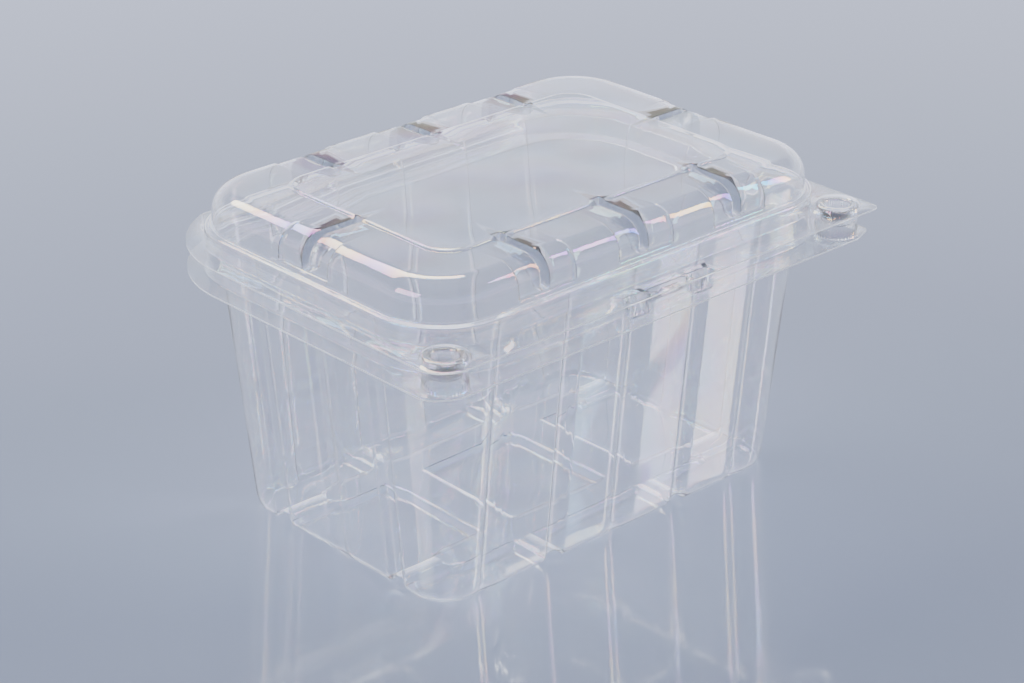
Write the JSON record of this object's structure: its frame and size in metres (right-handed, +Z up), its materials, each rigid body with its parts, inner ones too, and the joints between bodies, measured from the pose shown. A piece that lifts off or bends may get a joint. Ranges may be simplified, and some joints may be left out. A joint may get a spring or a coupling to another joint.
{
  "type": "plastic clamshell pack",
  "caption": "Clear thermoformed clamshell pack: fluted rectangular tub with a folded rim and a hinged, domed, vented lid with snap buttons and a front latch tab.",
  "frame": {"origin": "on the ground under the middle of the pack's footprint, halfway along its length and its depth", "axes": "+X along the long sides, +Y towards the hinge at the back, -Y towards the latch at the front, +Z up"},
  "size_m": [0.189, 0.1453, 0.1125],
  "materials": {
    "clear_sheet": "glossy clear thermoformed polyester sheet"
  },
  "bodies": {
    "tray": {"tray": "clear_sheet"},
    "lid": {"lid": "clear_sheet"}
  },
  "joints": [
    {"name": "lid_hinge", "type": "hinge", "parent": "tray", "child": "lid", "pos_m": [0, 0.0716, 0.089], "axis": [-1, 0, 0], "range_deg": [0, 180]}
  ]
}
